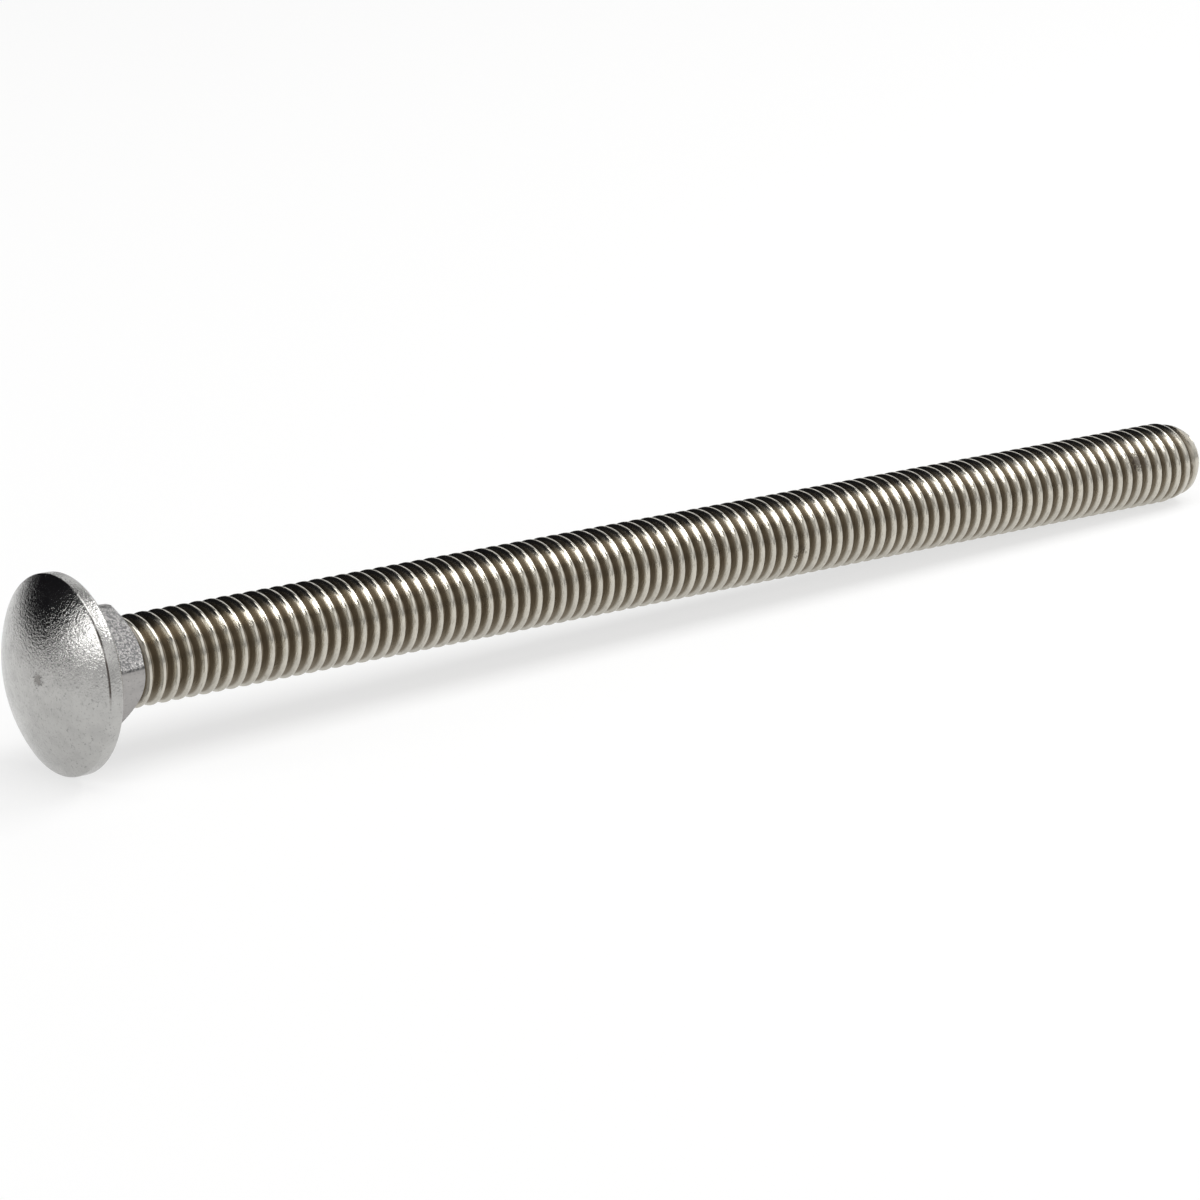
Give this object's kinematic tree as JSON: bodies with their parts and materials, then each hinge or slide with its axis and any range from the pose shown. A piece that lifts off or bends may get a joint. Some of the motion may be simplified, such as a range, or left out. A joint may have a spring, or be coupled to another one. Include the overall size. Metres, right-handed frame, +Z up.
{
  "type": "carriage bolt",
  "caption": "Long carriage bolt with a low domed head, a square neck and a coarse thread up to the neck, lying on its side.",
  "frame": {"origin": "centre of the bolt's outline on the surface that it lies on", "axes": "+X from the head towards the point, about two degrees above the thread's axis, which dips towards the point; +Z up"},
  "size_m": [0.1574, 0.02, 0.02],
  "materials": {
    "bare_steel": "bare stainless steel, satin from tumbling, with a finely pitted dome and brighter rolled thread flanks"
  },
  "bodies": {
    "root": {"bolt": "bare_steel"}
  },
  "joints": []
}
